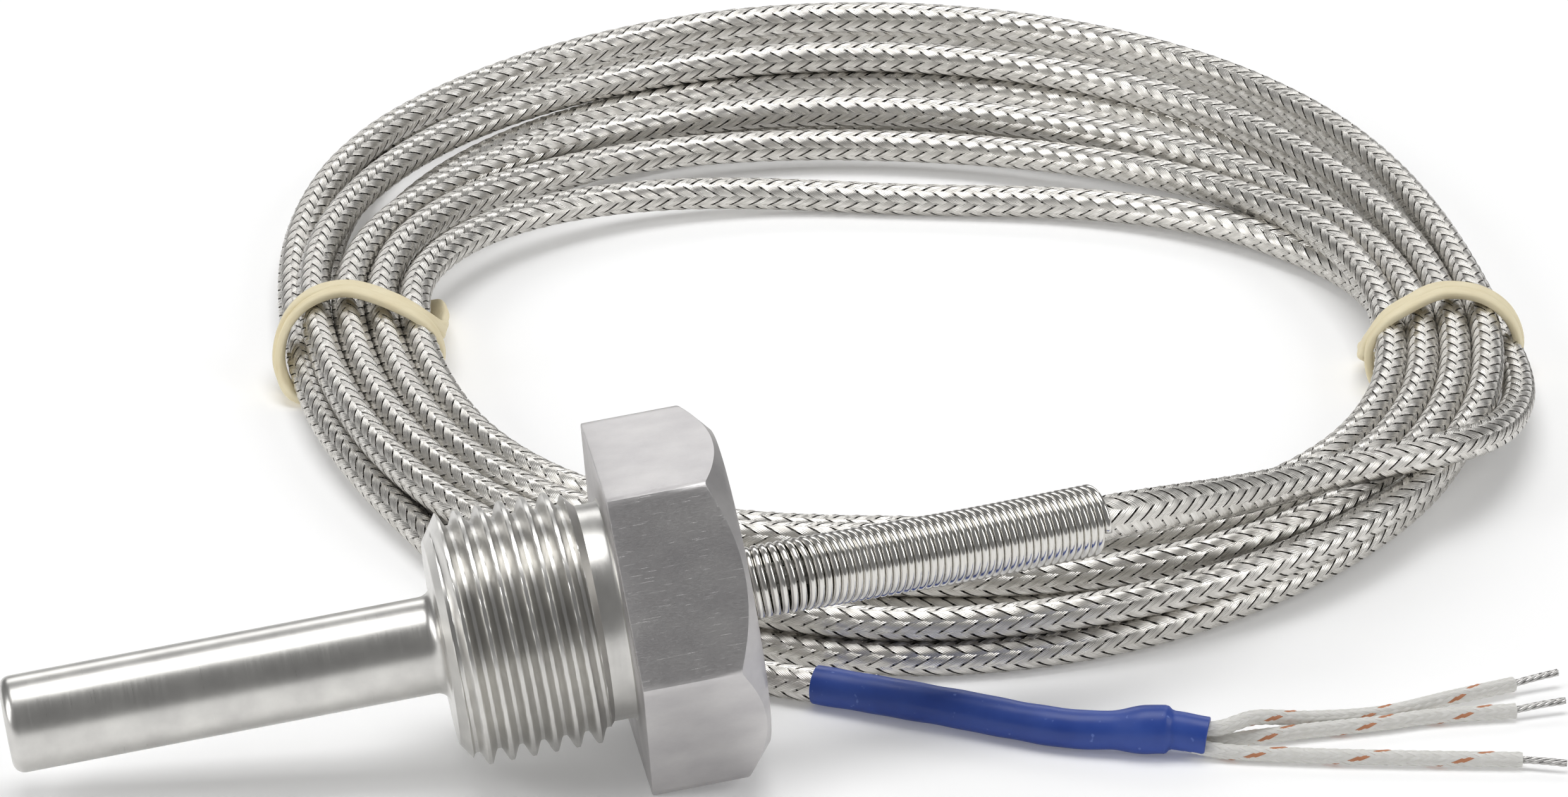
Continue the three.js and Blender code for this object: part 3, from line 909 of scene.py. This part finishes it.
def closed_line(points, step):
    """The smooth closed line through the points. Its last point is just before its first."""
    points = np.array(points, float)
    around = np.concatenate([points[-3:], points, points[:3]])
    line = smooth_line(around, step / 4)
    first = np.argmin(np.linalg.norm(line[: len(line) // 3] - points[0], axis=1))
    last = first + len(line) // 3
    last += np.argmin(np.linalg.norm(line[last:] - points[0], axis=1))
    return evenly(line[first:last + 1], step)[:-1]


def band_winding(name, route):
    """One closed winding of a rubber band: a flat strip with rounded edges."""
    line = closed_line(route, 0.4)
    around = np.concatenate([line[-1:], line, line[:1]])
    forward = unit(around[2:] - around[:-2])
    lengthwise = np.array([0.1, 1, 0])
    flat = unit(lengthwise - (forward @ lengthwise)[:, None] * forward)
    normal = np.cross(flat, forward)
    corner = np.arange(20) / 20 * TURN
    wide = BAND_WIDTH / 2 * np.sign(np.cos(corner)) * np.abs(np.cos(corner)) ** 0.5
    thick = BAND_THICKNESS / 2 * np.sign(np.sin(corner)) * np.abs(np.sin(corner)) ** 0.7
    along = arc_lengths(line)
    swell = 1 + 0.05 * np.sin(along * 0.9)
    rows = (
        line[:, None]
        + flat[:, None] * wide[None, :, None] * swell[:, None, None]
        + normal[:, None] * thick[None, :, None]
    )
    rows = np.concatenate([rows, rows[:1]])
    places = np.zeros(rows.shape)
    places[..., 0] = wide[None]
    places[..., 1] = thick[None]
    places[..., 2] = np.append(along, along[-1])[:, None]
    return make_tube(name, rows, materials["band_rubber"], places, open_ends=True)


for band_name, windings in BAND_WINDINGS.items():
    for number, route in enumerate(windings, 1):
        winding = band_winding(f"{band_name}_winding_{number}", route)
        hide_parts(band_name)

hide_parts("cable_lead_in", "cable_coil", "cable_tail")


# ---- the machined body

def arc_rows(centre_along, centre_radius, radius, start, end, steps):
    """Profile points on an arc, from start to end degrees, where 0 points along the axis."""
    angles = np.radians(np.linspace(start, end, steps))
    return [
        (centre_along + radius * math.cos(a), centre_radius + radius * math.sin(a))
        for a in angles
    ]


FIRST_CREST = -12.71  # where the first full crest passes the side towards the camera
CREST_SHARE = 0.08  # of the pitch, from a crest's middle to its edge
FLANK_SHARE = 0.34  # of the pitch
RUN_OUT_SLOPE = 1.2


def thread_radius(along, angle):
    """The thread's surface: a right-hand helix, chamfered at its start, run out at its end."""
    phase = (along - FIRST_CREST) / THREAD_PITCH + angle / TURN
    from_crest = np.abs((phase + 0.5) % 1 - 0.5)
    flank = np.clip((from_crest - CREST_SHARE) / FLANK_SHARE, 0, 1)
    flank = (flank + smoothstep(flank)) / 2
    ridge = THREAD_RADIUS - THREAD_DEPTH * flank
    chamfer_slope = (THREAD_RADIUS - THREAD_START_RADIUS) / (THREAD_FULL - THREAD_START)
    chamfer = THREAD_START_RADIUS + (along - THREAD_START) * chamfer_slope
    run_out = NECK_RADIUS + np.maximum(0, NECK_START - along) * RUN_OUT_SLOPE
    return np.minimum(np.minimum(ridge, chamfer), run_out)


def hexagon_radius(angle):
    sixth = TURN / 6
    flat = HEX_APOTHEM / np.cos(angle % sixth - sixth / 2)
    return np.minimum(flat, HEX_CORNER - 0.1)


def body_piece():
    columns = 288
    angle = np.arange(columns) / columns * TURN
    rows = []

    def ring(along, radius):
        rows.append((np.broadcast_to(along, columns), np.broadcast_to(radius, columns)))

    for radius in (0.02, 1.0, 2.0, STEM_RADIUS - STEM_TIP_EDGE):
        ring(STEM_TIP, radius)
    edge = arc_rows(
        STEM_TIP + STEM_TIP_EDGE, STEM_RADIUS - STEM_TIP_EDGE, STEM_TIP_EDGE, 180, 90, 9
    )
    for along, radius in edge[1:]:
        ring(along, radius)
    for along in np.linspace(STEM_TIP + 2, THREAD_START - STEM_ROOT_FILLET, 24):
        ring(along, STEM_RADIUS)
    fillet = arc_rows(
        THREAD_START - STEM_ROOT_FILLET,
        STEM_RADIUS + STEM_ROOT_FILLET,
        STEM_ROOT_FILLET,
        -90,
        0,
        8,
    )
    for along, radius in fillet[1:]:
        ring(along, radius)
    for radius in (6.2, 7.3, THREAD_START_RADIUS - 0.02):
        ring(THREAD_START, radius)
    for along in np.arange(THREAD_START + 0.02, NECK_START, 0.06):
        ring(along, thread_radius(along, angle))
    for along in (NECK_START, -1.2, -0.3):
        ring(along, NECK_RADIUS)
    ring(-0.08, NECK_RADIUS + 0.08)
    ring(0, NECK_RADIUS + 0.3)
    flat = hexagon_radius(angle)
    edge_break = 0.12
    ring(0, flat * 0.55 + NECK_RADIUS * 0.45)
    ring(0, flat - edge_break)
    ring(edge_break * 0.3, flat - edge_break * 0.3)
    ring(edge_break, flat)
    slope = (HEX_CORNER - HEX_BACK_RADIUS) / (HEX_LENGTH - HEX_CORNER_LENGTH)
    chamfer_start = HEX_LENGTH - (flat - HEX_BACK_RADIUS) / slope
    for share in (0.3, 0.6, 0.985):
        ring(chamfer_start * share, flat)
    for share in (0.02, 0.35, 0.7, 0.97):
        ring(
            chamfer_start + share * (HEX_LENGTH - chamfer_start),
            flat + share * (HEX_BACK_RADIUS - flat),
        )
    for radius in (12.9, 12, 10, 8, 6, 4.5, COUNTERBORE_RADIUS + 0.2):
        ring(HEX_LENGTH, radius)
    ring(HEX_LENGTH - 0.2, COUNTERBORE_RADIUS)
    ring(COUNTERBORE_END, COUNTERBORE_RADIUS)
    ring(COUNTERBORE_END, BORE_RADIUS)
    ring(BORE_END, BORE_RADIUS)
    ring(BORE_END, 0.02)
    along = np.array([row[0] for row in rows])
    radius = np.array([row[1] for row in rows])
    local = np.stack([along, radius * np.cos(angle), radius * np.sin(angle)], -1)
    world = HEX_FACE + local @ np.array([AXIS, SIDE, UP])
    body = make_tube("machined_body", world, materials["machined_steel"], local, sharp_degrees=28)
    body.data.materials.append(materials["hexagon_steel"])
    middle = np.array([polygon.center for polygon in body.data.polygons]) / MM - HEX_FACE
    from_axis = np.linalg.norm(middle - np.outer(middle @ AXIS, AXIS), axis=1)
    on_hexagon = (middle @ AXIS > -0.001) & (from_axis > COUNTERBORE_RADIUS)
    body.data.polygons.foreach_set("material_index", on_hexagon.astype(np.int32))
    return body


body = body_piece()
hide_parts("threaded_body")


# ---- the strain relief spring

STEPS_PER_TURN = 30
WIRE_SIDES = 14


def spring_piece():
    route = [on_axis(SPRING_START), on_axis(HEX_LENGTH), SPRING_BEND, *SPRING_ROUTE]
    line = smooth_line(route, 0.05)
    length = arc_lengths(line)[-1]
    turns = round(length / SPRING_PITCH)
    steps = turns * STEPS_PER_TURN
    line = evenly(line, length / steps)
    side, up = upright(line)
    angle = (np.arange(len(line)) / STEPS_PER_TURN * TURN)[:, None]
    outward = side * np.cos(angle) - up * np.sin(angle)
    wire_path = line + outward * (SPRING_RADIUS - SPRING_WIRE_RADIUS)
    forward = unit(np.gradient(wire_path, axis=0))
    outward = unit(outward - (outward * forward).sum(1, keepdims=True) * forward)
    rows = round_section(
        wire_path,
        SPRING_WIRE_RADIUS,
        SPRING_WIRE_RADIUS,
        WIRE_SIDES,
        outward,
        np.cross(outward, forward),
    )
    places = tube_places(wire_path, WIRE_SIDES)
    return make_tube("relief_spring", rows, materials["spring_steel"], places)


spring = spring_piece()
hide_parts("strain_relief_spring")


# ---- the pieces inside, which keep their CAD shapes

INNER_MATERIALS = {
    "sensing_element": "ceramic",
    "thermal_filler": "filler",
    "element_wire_a": "tinned_copper",
    "element_wire_b": "tinned_copper",
    "splice_crimp_a": "tinned_copper",
    "splice_crimp_b": "tinned_copper",
    "internal_wire_1": "fibreglass",
    "internal_wire_2": "fibreglass",
    "internal_wire_3": "fibreglass",
    "insulating_sleeve": "fibreglass",
    "potting_plug": "potting",
    "anchor_ferrule": "ferrule_brass",
    "braid_end_ferrule": "ferrule_brass",
    "lead_bundle": "fibreglass",
}
for node_name, material_name in INNER_MATERIALS.items():
    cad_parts[node_name].material_slots[0].material = materials[material_name]
